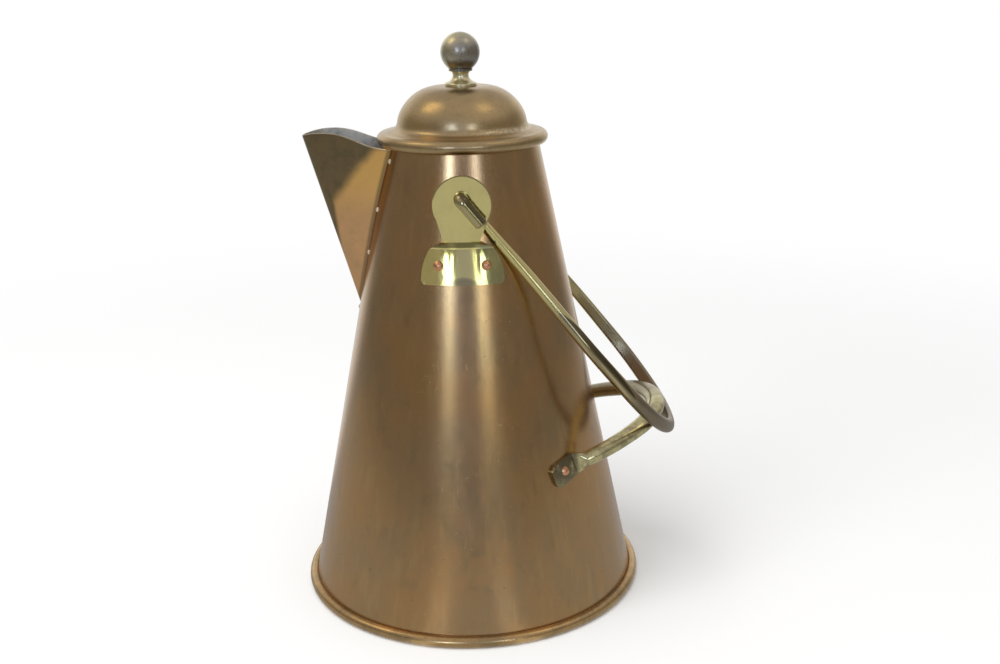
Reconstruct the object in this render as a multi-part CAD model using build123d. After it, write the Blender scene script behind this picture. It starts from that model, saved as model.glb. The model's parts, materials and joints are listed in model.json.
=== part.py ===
from build123d import *
import os
from math import asin, atan, cos, degrees, hypot, pi, radians, sin, sqrt

# Antique conical tea kettle, millimetres.
# The origin is the centre of the underside. +Z is up, the spout points to -X, the back handle to +X,
# and the bail's two lugs stand on -Y (near) and +Y (far). The kettle is symmetric about the XZ plane.

# Body: a truncated cone of sheet copper
CONE_R0 = 105.33        # outer radius that the slant would reach at z = 0
TAPER = 0.2062          # radius lost per millimetre of height
WALL = 1.0
MOUTH_Z = 284.3         # top of the wall
LEDGE_R = 43.2          # hole in the turned-in ledge that carries the lid
FOOT_STEP_Z = 7.6       # below this the wall is drawn in to enter the rolled rim
FOOT_R = 102.2

# Bottom: a flat disc whose edge is rolled round a wire
DISC_T = 1.1
BEAD_R = 105.86         # radius of the bead's centre circle
BEAD_ROLL = 3.4         # radius of the roll's section
FOOT_WIRE = 2.3

# Spout: a beak of folded sheet, open on top
BEAK_TIP = (-97.3, 290.3)
BEAK_ROOT = (-67.2, 185.0)
BEAK_HALF_WIDTH = 22.6
BEAK_DEPTH = 56.7       # tip to the mouth's side, along X
BEAK_FULLNESS = 0.456   # 0.5 is a parabolic nose
BEAK_T = 1.0
BEAK_TOP = 297.0
BEAK_EDGE = [(-100.0, 289.5), (-97.3, 290.3), (-91.7, 291.7), (-86.0, 292.5), (-80.2, 292.6),
             (-74.5, 292.0), (-68.7, 290.6), (-62.9, 288.5), (-57.2, 286.2), (-51.4, 284.4),
             (-46.0, 283.7), (-38.0, 283.5)]
WINDOW_Z = (216.0, 272.0)
WINDOW_HALF = (3.2, 11.5)
SEAM_SPREAD = 0.206     # half-width gained at the wall per millimetre of height
TACK_Z = (219.5, 247.0, 277.0)
KEEL_TACK_Z = 182.0
TACK_OFFSET = 3.2
TACK_R = 1.6
TACK_H = 0.9

# Lugs for the bail
PIVOT_Z = 261.7
PLATE_Y = (60.5, 62.3)  # inner and outer face of the keyhole plate
PLATE_X = 0.8
PLATE_Z = 257.5
PLATE_R = 17.0
NECK_HALF = 10.5
NECK_Z = 236.8
LUG_FOOT_Z = (211.0, 231.5)
LUG_FOOT_T = 2.0
LUG_HALF_ANGLE = 18.3
LUG_RIVET_ANGLE = 13.1
LUG_RIVET_Z = 221.6
PIVOT_HOLE_R = 2.7

# Bail: half-round bar, hanging against the back handle
BAIL_ANGLE = 50.98      # degrees below horizontal at rest
BAIL_PIN_R = 2.6
BAIL_Y = 57.4           # leg centre at the pivots
BAIL_BEND = 2.9
HOOK_Y = 67.6           # centre line of the fold outside the plate
HOOK_R = 3.8
ELBOW_R = 4.3
HOOK_END = 18.9
BAIL_LINE = [(30.0, 57.3), (60.0, 57.6), (89.0, 60.3), (118.0, 63.8), (143.0, 61.7), (166.0, 57.6),
             (184.5, 46.0), (197.5, 28.5)]
BAIL_REACH = 203.3
BAIL_THICK = [(2.9, 2.6), (12, 2.35), (40, 2.35), (118, 3.0), (184, 4.1), (203, 4.4)]
BAIL_WIDE = [(2.9, 2.6), (30, 2.8), (60, 3.3), (118, 3.7), (184, 4.2), (203, 4.4)]
BAIL_STATIONS = 32

# Back handle: a loop of rounded bar, tilted up from its two tabs
HANDLE_X = 58.0
HANDLE_Z = 93.87
HANDLE_TILT = 19.47
HANDLE_LINE = [(14.2, 57.0), (28.3, 51.9), (42.5, 43.3), (54.6, 32.7), (62.2, 19.3)]
HANDLE_REACH = 65.7
TAB_AZIMUTH = 47.6
TAB_Z = 94.3
TAB_RISE = 16.0         # degrees that the tab's length rises along the wall
TAB_LENGTH = 19.0
TAB_CREASE = 8.7        # rivet to the crease
TAB_WIDTH = 14.4
TAB_ROUND = 4.2
TAB_T = 1.9

# Rivets
RIVET_R = 1.6
RIVET_HEAD_R = 3.0
RIVET_HEAD_H = 1.7
RIVET_TAIL_H = 0.9

# Lid and knob
LID_T = 1.0
LID_TOP = 318.5
LID_ROLL_R = 48.27
LID_ROLL_Z = 288.0
LID_ROLL = 3.8
LID_WIRE = 2.6
COLLAR_R = 42.8
COLLAR_Z = 272.0
KNOB_R = 11.77
KNOB_Z = 338.23
KNOB_SEAT = 328.8
STUD_R = 2.0
STUD_FOOT = 311.5

SLANT = atan(TAPER)


def wall_r(z, out=0.0):
    """Radius at height z of the cone that lies `out` outside the wall's outer face."""
    return CONE_R0 - TAPER * z + out * hypot(1, TAPER)


def turned(points, close=True):
    """Solid of revolution about Z from a closed (radius, height) outline."""
    return revolve(Plane.XZ * make_face(Polyline(*points, close=close)), Axis.Z)


def cone_solid(z0, z1, out=0.0):
    """Solid cone frustum between two heights, `out` outside the wall's outer face."""
    return turned([(0, z0), (wall_r(z0, out), z0), (wall_r(z1, out), z1), (0, z1)])


def wall_plane(azimuth, z, rise=0.0):
    """Plane on the wall's outer face: z is the outward normal, x runs round the wall, raised by `rise`."""
    a = radians(azimuth)
    point = Vector(wall_r(z) * cos(a), wall_r(z) * sin(a), z)
    normal = Vector(cos(SLANT) * cos(a), cos(SLANT) * sin(a), sin(SLANT))
    around = Vector(-sin(a), cos(a), 0)
    upslope = Vector(-sin(SLANT) * cos(a), -sin(SLANT) * sin(a), cos(SLANT))
    along = around * cos(radians(rise)) + upslope * sin(radians(rise))
    return Plane(origin=point, x_dir=along, z_dir=normal)


def rolled_edge(r, z, outer, inner, gap):
    """Ring section of a rolled sheet edge, with the slot where the sheet's end stops."""
    ring = Pos(r, z) * (Circle(outer) - Circle(inner))
    a, b = (radians(v) for v in gap)
    reach = 2 * outer
    slot = Polyline((r, z), (r + reach * cos(a), z + reach * sin(a)),
                    (r + reach * cos(b), z + reach * sin(b)), close=True)
    return ring - make_face(slot)


def body_cone():
    """Wall with a drawn-in foot, a turned-in ledge at the mouth and the pouring window."""
    inner = wall_r(8.4, -WALL)
    outside = [(FOOT_R, DISC_T), (FOOT_R, 6.4), (wall_r(FOOT_STEP_Z), FOOT_STEP_Z)]
    outside = outside + [(wall_r(MOUTH_Z), MOUTH_Z)]
    ledge = [(LEDGE_R, MOUTH_Z), (LEDGE_R, MOUTH_Z - WALL), (wall_r(MOUTH_Z - WALL, -WALL), MOUTH_Z - WALL)]
    wall = turned(outside + ledge + [(inner, 8.4), (FOOT_R - WALL, 6.9), (FOOT_R - WALL, DISC_T)])
    low, high = WINDOW_Z
    window = Polyline((-WINDOW_HALF[1], high), (WINDOW_HALF[1], high), (WINDOW_HALF[0], low),
                      (-WINDOW_HALF[0], low), close=True)
    window = make_face(window)
    window = fillet(window.vertices(), 2.6)
    return wall - extrude(Plane.YZ.offset(-95) * window, 60)


def bottom_disc():
    """Flat bottom whose rim curls up and over the foot wire."""
    ring = rolled_edge(BEAD_R, BEAD_ROLL, BEAD_ROLL, FOOT_WIRE, (192, 252))
    disc = Pos(BEAD_R / 2, DISC_T / 2) * Rectangle(BEAD_R, DISC_T)
    section = ring + (disc - Pos(BEAD_R, BEAD_ROLL) * Circle(FOOT_WIRE))
    return revolve(Plane.XZ * section, Axis.Z)


def beak_outline(inset=0.0, back=-30.0, steps=9):
    """Plan of the beak at the tip's height, from the nose to a chord inside the body."""
    reach = (back - BEAK_TIP[0]) / BEAK_DEPTH
    half = []
    for i in range(1, steps + 1):
        t = reach * (i / steps) ** 2
        half.append((BEAK_TIP[0] + BEAK_DEPTH * t, BEAK_HALF_WIDTH * t ** BEAK_FULLNESS))
    points = [(x, -y) for x, y in reversed(half)] + [(BEAK_TIP[0], 0)] + half
    curve = Spline(*points)
    if not inset:
        return curve
    moved = []
    for i in range(4 * steps + 1):
        p = curve @ (i / (4 * steps))
        t = curve % (i / (4 * steps))
        moved.append((p.X + inset * t.Y, p.Y - inset * t.X))
    return Spline(*moved)


def beak_solid(inset, root):
    """Cone over the beak's plan: it widens from a point on the keel's foot to the top."""
    grow = (BEAK_TOP - BEAK_ROOT[1]) / (BEAK_TIP[1] - BEAK_ROOT[1])
    curve = beak_outline(inset)
    points = []
    count = 32
    for i in range(count + 1):
        p = curve @ (i / count)
        points.append((BEAK_ROOT[0] + grow * (p.X - BEAK_ROOT[0]), grow * p.Y))
    side = Spline(*points)
    top = make_face([side, Line(side @ 1, side @ 0)])
    return loft([Vertex(root[0], 0, root[1]), Pos(0, 0, BEAK_TOP) * top])


def spout():
    """Open beak of sheet copper: its rear edges follow the cone, its top edge is an S-curve."""
    outer = beak_solid(0.0, BEAK_ROOT)
    inner = beak_solid(BEAK_T, (BEAK_ROOT[0] + 0.4, BEAK_ROOT[1] + 4.5))
    edge = Spline(*BEAK_EDGE)
    lid = Polyline(edge @ 1, (-38.0, 300.0), (-100.0, 300.0), edge @ 0)
    above = extrude(Plane.XZ.offset(-40) * make_face([edge, lid]), 80)
    return largest(outer - inner - above - cone_solid(150, 300))


def spout_tacks():
    """Small solder tacks along both seams of the spout, and one under the keel."""
    tacks = [tack(180.0, KEEL_TACK_Z)]
    for z in TACK_Z:
        half = SEAM_SPREAD * (z - BEAK_ROOT[1]) + TACK_OFFSET
        angle = degrees(asin(half / wall_r(z)))
        for side in (-1, 1):
            tacks.append(tack(180.0 + side * angle, z))
    return tacks


def tack(azimuth, z):
    """A low lens of solder on the wall."""
    sphere_r = (TACK_R ** 2 + TACK_H ** 2) / (2 * TACK_H)
    lens = wall_plane(azimuth, z) * Pos(0, 0, TACK_H - sphere_r) * Sphere(sphere_r)
    return (lens - cone_solid(150, 300)).solid()


def largest(shape):
    """The biggest solid of a boolean result."""
    return max(shape.solids(), key=lambda s: s.volume)


def near_lug():
    """Keyhole plate standing off the body, with a joggle down to a riveted foot."""
    low, high = LUG_FOOT_Z
    top_half = (wall_r(high) + LUG_FOOT_T) * sin(radians(LUG_HALF_ANGLE))
    right = ThreePointArc((top_half, high), (22.6, 223.5), (24.2, 215.0))
    corner = ThreePointArc((24.2, 215.0), (23.9, 212.4), (22.4, low))
    left = mirror(right, about=Plane.YZ)
    left_corner = mirror(corner, about=Plane.YZ)
    outline = make_face([right, corner, Line((22.4, low), (-22.4, low)), left_corner, left,
                         Line((-top_half, high), (top_half, high))])
    prism = extrude(Plane.XZ.offset(30) * outline, 50)
    foot = (cone_solid(205, 240, LUG_FOOT_T) - cone_solid(205, 240)) & prism
    # The joggle blends the foot's curved top edge into the flat neck
    r = wall_r(high)
    a = radians(LUG_HALF_ANGLE)
    inner = ThreePointArc((-r * sin(a), -r * cos(a)), (0, -r), (r * sin(a), -r * cos(a)))
    r += LUG_FOOT_T * hypot(1, TAPER)
    outer = ThreePointArc((-r * sin(a), -r * cos(a)), (0, -r), (r * sin(a), -r * cos(a)))
    strip = make_face([inner, Line(inner @ 1, outer @ 1), outer, Line(outer @ 0, inner @ 0)])
    neck = Pos(0, -(PLATE_Y[0] + PLATE_Y[1]) / 2) * Rectangle(2 * NECK_HALF, PLATE_Y[1] - PLATE_Y[0])
    joggle = loft([Pos(0, 0, high) * strip, Pos(0, 0, NECK_Z) * neck], ruled=True)
    shoulder = Polyline((-NECK_HALF, NECK_Z), (NECK_HALF, NECK_Z), (PLATE_X + 15.0, 249.6),
                        (PLATE_X - 15.0, 249.6), close=True)
    keyhole = Pos(PLATE_X, PLATE_Z) * Circle(PLATE_R) + make_face(shoulder)
    keyhole = keyhole - Pos(0, PIVOT_Z) * Circle(PIVOT_HOLE_R)
    plate = extrude(Plane.XZ.offset(PLATE_Y[0]) * keyhole, PLATE_Y[1] - PLATE_Y[0])
    return foot + joggle + plate


def post(r, z0, z1):
    """Cylinder round Z between two heights."""
    return Pos(0, 0, z0) * Cylinder(r, z1 - z0, align=(Align.CENTER, Align.CENTER, Align.MIN))


def rivet(azimuth, z, plate, flat=False):
    """Copper rivet through the wall and a plate, flat or curved like the wall: domed head, peened tail."""
    place = wall_plane(azimuth, z)
    sphere_r = (RIVET_HEAD_R ** 2 + RIVET_HEAD_H ** 2) / (2 * RIVET_HEAD_H)
    ball = Pos(0, 0, plate + RIVET_HEAD_H - sphere_r) * Sphere(sphere_r)
    head = place * (ball & post(RIVET_HEAD_R, plate - 0.3, plate + 4))
    cover = place * post(8, plate - 8, plate) if flat else cone_solid(z - 15, z + 15, plate)
    tail = place * post(2.6, -WALL - RIVET_TAIL_H, 0.7 - RIVET_TAIL_H)
    tail = tail & cone_solid(z - 15, z + 15, -WALL)
    return head - cover + place * shank_tool(plate) + tail


def shank_tool(plate):
    """Cylinder that is both the rivet's shank and the hole it fills."""
    return post(RIVET_R, -WALL - 0.3, plate + 0.4)


def d_section(place, thick, wide):
    """Half-round bar section: flat towards -x, rounded towards +x, with a sharp arris each side."""
    k = -0.86 * thick
    h = 0.72 * wide
    back = Spline((k, -h), (0.1 * thick, -0.98 * wide), (thick, 0), (0.1 * thick, 0.98 * wide), (k, h),
                  tangents=[(0.35, -1), (-0.35, -1)])
    return place * make_face([back, Line((k, h), (k, -h))])


def round_section(place, r):
    """Circle drawn as two arcs, so that it joins the half-round section edge to edge."""
    a = (-0.6 * r, -0.8 * r)
    b = (-0.6 * r, 0.8 * r)
    return place * make_face([ThreePointArc(a, (r, 0), b), ThreePointArc(b, (-r, 0), a)])


def oval_section(place, thick, wide):
    """Rounded bar section of four arcs."""
    k = sqrt(0.5)
    corners = [(-k * thick, -k * wide), (k * thick, -k * wide)]
    corners = corners + [(k * thick, k * wide), (-k * thick, k * wide)]
    middles = [(0, -wide), (thick, 0), (0, wide), (-thick, 0)]
    arcs = [ThreePointArc(corners[i], middles[i], corners[(i + 1) % 4]) for i in range(4)]
    return place * make_face(arcs)


def ramp(x, knots):
    """Piecewise linear value at x."""
    for (x0, v0), (x1, v1) in zip(knots, knots[1:]):
        if x <= x1:
            return v0 + (v1 - v0) * max(0.0, (x - x0)) / (x1 - x0)
    return knots[-1][1]


def bail():
    """Bar from pin to pin round the bow, each end passing out through its lug and folding down outside."""
    far = [(s, w) for s, w in reversed(BAIL_LINE)]
    near = [(s, -w) for s, w in BAIL_LINE]
    ends = [(BAIL_BEND, -BAIL_Y), (BAIL_BEND, BAIL_Y)]
    line = Spline(ends[0], *near, (BAIL_REACH, 0), *far, ends[1], tangents=[(1, 0), (-1, 0)])
    sections = []
    for i in range(BAIL_STATIONS + 1):
        p = line @ (i / BAIL_STATIONS)
        t = line % (i / BAIL_STATIONS)
        place = Plane(origin=(p.X, p.Y, 0), x_dir=(t.Y, -t.X, 0), z_dir=(t.X, t.Y, 0))
        if i in (0, BAIL_STATIONS):
            sections.append(round_section(place, BAIL_PIN_R))
            continue
        sections.append(d_section(place, ramp(p.X, BAIL_THICK), ramp(p.X, BAIL_WIDE)))
    bar = loft(sections)
    for side in (-1, 1):
        bar = bar + bail_hook(side)
    return Pos(0, 0, PIVOT_Z) * Rot(0, BAIL_ANGLE, 0) * bar


def bail_hook(side):
    """Round end: a bend to the pin, the pin through the plate, a fat elbow and the fold outside."""
    b = BAIL_BEND
    pin = BAIL_Y + b
    k = b * (1 - cos(pi / 4))
    m = b * sin(pi / 4)
    path = Wire([ThreePointArc((b, side * BAIL_Y), (b - m, side * (BAIL_Y + k)), (0, side * pin)),
                 Line((0, side * pin), (0, side * (HOOK_Y - 1)))])
    start = Plane(origin=(b, side * BAIL_Y, 0), x_dir=(0, 0, 1), z_dir=(-1, 0, 0))
    rod = sweep(start * Circle(BAIL_PIN_R), path)
    blunt = 0.9
    neck = sqrt(ELBOW_R ** 2 - HOOK_R ** 2)
    elbow = ThreePointArc((0, -ELBOW_R), (ELBOW_R * cos(0.6), -ELBOW_R * sin(0.6)), (HOOK_R, neck))
    tip = Polyline((HOOK_R, neck), (HOOK_R, HOOK_END - blunt), (HOOK_R - blunt, HOOK_END), (0, HOOK_END),
                   (0, -ELBOW_R))
    fold = revolve(Plane.XZ * make_face([elbow, tip]), Axis.Z)
    return rod + Pos(0, side * HOOK_Y, 0) * Rot(0, 90, 0) * fold


def handle_plane():
    """Plane that the handle's loop lies in, tilted up away from the body."""
    return Pos(HANDLE_X, 0, HANDLE_Z) * Rot(0, -HANDLE_TILT, 0)


def tab_plane(side):
    """Plane of one tab, touching the wall at the rivet, with x along the tab."""
    return wall_plane(side * TAB_AZIMUTH, TAB_Z, -side * TAB_RISE)


def back_handle():
    """Cast loop: flat tabs on the wall, each turning outwards through a facet into the rounded bar."""
    loop = handle_plane()
    near = [(u, -w) for u, w in HANDLE_LINE]
    far = [(u, w) for u, w in reversed(HANDLE_LINE)]
    line = Spline(*near, (HANDLE_REACH, 0), *far)
    sections = []
    count = 20
    for i in range(count + 1):
        p = line @ (i / count)
        t = line % (i / count)
        thick = ramp(p.X, [(14, 4.5), (30, 5.0), (50, 5.8), (66, 6.2)])
        wide = ramp(p.X, [(14, 4.7), (30, 4.8), (50, 5.0), (66, 5.2)])
        flat = Plane(origin=(p.X, p.Y, 0), x_dir=(t.Y, -t.X, 0), z_dir=(t.X, t.Y, 0))
        sections.append(oval_section(loop * flat.location, thick, wide))
    bar = loft(sections)
    for side, end in ((-1, sections[0]), (1, sections[-1])):
        bar = bar + loft([tab_root(side), end], ruled=True)
        bar = bar + tab(side)
    return bar


def tab_root(side):
    """Flat section at the tab's crease, where the bar grows out of it."""
    plane = tab_plane(side)
    along = plane.x_dir * -side
    origin = plane.origin + along * TAB_CREASE + plane.z_dir * (TAB_T / 2 + 0.1)
    place = Plane(origin=origin, x_dir=plane.z_dir, z_dir=along * -side)
    return place * Rectangle(TAB_T - 0.2, TAB_WIDTH - 0.2)


def tab(side):
    """One flat tab, hollowed to fit the wall, with its outer end rounded."""
    plane = tab_plane(side)
    plan = Pos((TAB_CREASE - TAB_LENGTH / 2) * -side, 0) * Rectangle(TAB_LENGTH, TAB_WIDTH)
    corners = plan.vertices().sort_by(Axis.X)
    plan = fillet(corners[:2] if side < 0 else corners[-2:], TAB_ROUND)
    block = extrude(plane.offset(-2.0) * plan, 2.0 + TAB_T)
    return block - cone_solid(60, 130)


def lid_curve():
    """Outer face of the lid from the flat top to the rolled rim."""
    return Spline((14.0, LID_TOP), (20.9, 317.6), (29.6, 313.2), (34.6, 308.2), (37.6, 303.2),
                  (39.2, 298.9), (40.9, 295.6), (43.6, 293.6), (LID_ROLL_R, LID_ROLL_Z + LID_ROLL),
                  tangents=[(1, 0), (1, -0.08)])


def lid_dome():
    """Raised lid sheet: flat top, rounded shoulder, flange, and a rim that is rolled round a wire."""
    curve = lid_curve()
    moved = []
    count = 14
    for i in range(count + 1):
        p = curve @ (i / count)
        t = curve % (i / count)
        moved.append((p.X + LID_T * t.Y, p.Y - LID_T * t.X))
    under = Spline(*moved)
    hole = STUD_R
    middle = Polyline(under @ 0, (hole, LID_TOP - LID_T), (hole, LID_TOP), curve @ 0)
    sheet = make_face([curve, Line(curve @ 1, under @ 1), under, middle])
    sheet = sheet - Pos(LID_ROLL_R, LID_ROLL_Z) * Circle(LID_WIRE)
    roll = rolled_edge(LID_ROLL_R, LID_ROLL_Z, LID_ROLL, LID_WIRE, (128, 172))
    return revolve(Plane.XZ * (sheet + roll), Axis.Z)


def lid_collar():
    """Ring soldered under the lid: it drops into the mouth, and its small flange sits on the ledge."""
    skirt = [(COLLAR_R - 1.0, COLLAR_Z), (COLLAR_R, COLLAR_Z), (COLLAR_R, MOUTH_Z)]
    seat = [(45.5, MOUTH_Z), (45.5, MOUTH_Z + 1.0), (COLLAR_R, MOUTH_Z + 1.0)]
    ring = turned(skirt + seat + [(COLLAR_R, 293.6), (COLLAR_R - 1.0, 293.9)])
    return largest(ring - lid_dome())


def knob_pedestal():
    """Turned foot of the knob: flared base, waist and a thin ring under the ball."""
    flare = Spline((9.1, 320.4), (6.4, 321.7), (4.9, 324.0), (4.9, 325.4), (6.0, 327.2))
    rest = Polyline(flare @ 1, (7.1, 327.2), (7.1, KNOB_SEAT), (STUD_R, KNOB_SEAT), (STUD_R, LID_TOP),
                    (9.6, LID_TOP), (9.6, 319.9), flare @ 0)
    return revolve(Plane.XZ * make_face([flare, rest]), Axis.Z)


def knob_ball():
    """Ball with a flat seat and a blind hole for the stud."""
    ball = Pos(0, 0, KNOB_Z) * Sphere(KNOB_R)
    return ball - post(20, KNOB_SEAT - 20, KNOB_SEAT) - post(STUD_R, KNOB_SEAT - 1, KNOB_SEAT + 12)


def knob_stud():
    """Rod from the nut below the lid up into the ball."""
    return post(STUD_R, STUD_FOOT, KNOB_SEAT + 12)


def knob_washer():
    """Flat washer against the lid's underside."""
    section = Circle(6.5) - Circle(STUD_R)
    return Pos(0, 0, LID_TOP - LID_T - 1.1) * extrude(section, 1.1)


def knob_nut():
    """Hexagon nut under the washer."""
    section = RegularPolygon(4.2, 6) - Circle(STUD_R)
    return Pos(0, 0, LID_TOP - LID_T - 4.4) * extrude(section, 3.3)


def main():
    os.makedirs("parts", exist_ok=True)
    lug = near_lug()
    handle = back_handle()
    wall = body_cone()
    nodes = {}
    rivets = {}
    lug_cut = []
    for name, angle in (("front", -LUG_RIVET_ANGLE), ("back", LUG_RIVET_ANGLE)):
        azimuth = -90 + angle
        rivets[f"near_lug_rivet_{name}"] = rivet(azimuth, LUG_RIVET_Z, LUG_FOOT_T)
        lug_cut.append(wall_plane(azimuth, LUG_RIVET_Z) * shank_tool(LUG_FOOT_T))
    for name in ("front", "back"):
        rivets[f"far_lug_rivet_{name}"] = mirror(rivets[f"near_lug_rivet_{name}"], about=Plane.XZ)
    for cut in lug_cut:
        lug = lug - cut
        wall = wall - cut - mirror(cut, about=Plane.XZ)
    for name, side in (("near", -1), ("far", 1)):
        rivets[f"{name}_handle_rivet"] = rivet(side * TAB_AZIMUTH, TAB_Z, TAB_T, flat=True)
        cut = wall_plane(side * TAB_AZIMUTH, TAB_Z) * shank_tool(TAB_T)
        handle = handle - cut
        wall = wall - cut
    nodes["body_cone"] = wall
    nodes["bottom_disc"] = bottom_disc()
    nodes["foot_wire"] = Pos(0, 0, BEAD_ROLL) * Torus(BEAD_R, FOOT_WIRE)
    nodes["spout"] = spout()
    nodes["spout_tacks"] = Compound(children=spout_tacks())
    nodes["near_lug"] = lug
    nodes["far_lug"] = mirror(lug, about=Plane.XZ)
    nodes.update(rivets)
    nodes["back_handle"] = handle
    nodes["bail"] = bail()
    nodes["lid_dome"] = lid_dome()
    nodes["lid_wire"] = Pos(0, 0, LID_ROLL_Z) * Torus(LID_ROLL_R, LID_WIRE)
    nodes["lid_collar"] = lid_collar()
    nodes["knob_pedestal"] = knob_pedestal()
    nodes["knob_ball"] = knob_ball()
    nodes["knob_stud"] = knob_stud()
    nodes["knob_washer"] = knob_washer()
    nodes["knob_nut"] = knob_nut()
    for name, shape in nodes.items():
        print(name, round(shape.volume, 1), len(shape.solids()), shape.is_valid)
        export_step(shape, f"parts/{name}.step")


main()
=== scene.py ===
# %% [markdown]
# # A tall copper kettle, dressed in Blender
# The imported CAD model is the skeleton: it fixes every size and every moving body. This lesson puts a studio
# round it, works out smoother skins for the pieces made of sheet metal, and mixes a worn finish for each
# metal. Lengths are metres, and millimetres in the grids of the skins. +Z is up, the spout points to -X, the
# back handle to +X, and the camera stands on the -Y side.

# %% Load the frame
import json
from math import cos, radians, sin

import bmesh
import bpy
import numpy as np
from mathutils import Matrix, Vector


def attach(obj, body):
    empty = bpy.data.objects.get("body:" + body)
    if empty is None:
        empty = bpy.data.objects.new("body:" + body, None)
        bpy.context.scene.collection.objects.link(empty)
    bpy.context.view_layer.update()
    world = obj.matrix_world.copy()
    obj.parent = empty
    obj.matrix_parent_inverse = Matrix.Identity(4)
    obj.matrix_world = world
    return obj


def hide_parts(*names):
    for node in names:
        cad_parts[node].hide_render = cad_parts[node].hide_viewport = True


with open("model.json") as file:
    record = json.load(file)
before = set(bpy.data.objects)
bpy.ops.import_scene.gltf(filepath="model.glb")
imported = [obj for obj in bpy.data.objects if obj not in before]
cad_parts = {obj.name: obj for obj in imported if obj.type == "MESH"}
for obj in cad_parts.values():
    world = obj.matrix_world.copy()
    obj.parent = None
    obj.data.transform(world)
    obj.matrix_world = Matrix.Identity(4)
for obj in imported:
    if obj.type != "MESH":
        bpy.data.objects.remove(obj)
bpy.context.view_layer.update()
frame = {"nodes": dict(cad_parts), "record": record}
nodes = frame["nodes"]
scene = bpy.context.scene
MM = 0.001


def put(name, data):
    """A new object in the scene."""
    thing = bpy.data.objects.new(name, data)
    scene.collection.objects.link(thing)
    return thing


# %% [markdown]
# ## The camera
# The photograph was taken from a little above the lid, looking down at the kettle. A pinhole camera is
# settled by where it stands, how far it looks down, turns and rolls, and its lens. These came from matching
# the ellipses of the foot, the lid's rim and the knob to their real circles. Angles here are radians.

# %% The camera
CAMERA_AT = (0.02476, -0.74637, 0.39232)
LOOK_DOWN = 0.2979
TURN = -0.0055
ROLL = -0.0190
LENS = 44.06
SENSOR = 36


def camera_matrix():
    """Its columns are the picture's right, its up, and the way back from the view."""
    ahead = Vector((sin(TURN) * cos(LOOK_DOWN), cos(TURN) * cos(LOOK_DOWN), -sin(LOOK_DOWN)))
    right = Vector((cos(TURN), -sin(TURN), 0))
    up = right.cross(ahead)
    across = cos(ROLL) * right + sin(ROLL) * up
    upward = -sin(ROLL) * right + cos(ROLL) * up
    return Matrix((across, upward, -ahead)).transposed().to_4x4()


lens = bpy.data.cameras.new("studio_camera")
lens.lens = LENS
lens.sensor_width = SENSOR
camera = put("studio_camera", lens)
camera.matrix_world = Matrix.Translation(CAMERA_AT) @ camera_matrix()
scene.camera = camera
scene.view_settings.view_transform = "Standard"
print("the camera stands", round(Vector(CAMERA_AT).length, 3), "m from the kettle's foot")

# %% [markdown]
# ## Shader sums that read like sums
# A node tree is hard to read as a list of links. Here one small class stands for the output of a node, and
# its +, -, * and ** add Math nodes, so a mask can be written as `1 - wear * grain`. Colours go through Mix
# instead, because Math would turn them grey. A Mix node has a set of sockets for each kind of value, so
# those for colours are picked by number.

# %% Nodes as expressions
MIX_SHARE, MIX_FIRST, MIX_SECOND, MIX_COLOUR = 0, 6, 7, 2
DEGREES = 57.2958


class Flow:
    """The output of a shader node. Arithmetic on it adds Math nodes to the same finish."""

    def __init__(self, finish, socket):
        self.finish = finish
        self.socket = socket

    def maths(self, operation, *values, clamp=False):
        settings = {"operation": operation, "use_clamp": clamp}
        return self.finish.node("ShaderNodeMath", settings, values)

    def __add__(self, other):
        return self.maths("ADD", self, other)

    def __sub__(self, other):
        return self.maths("SUBTRACT", self, other)

    def __rsub__(self, other):
        return self.maths("SUBTRACT", other, self)

    def __mul__(self, other):
        return self.maths("MULTIPLY", self, other)

    def __pow__(self, other):
        return self.maths("POWER", self, other)

    def __abs__(self):
        return self.maths("ABSOLUTE", self)

    def higher(self, other):
        return self.maths("MAXIMUM", self, other)

    def held(self):
        return self.maths("ADD", self, 0.0, clamp=True)

    __radd__ = __add__
    __rmul__ = __mul__


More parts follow.
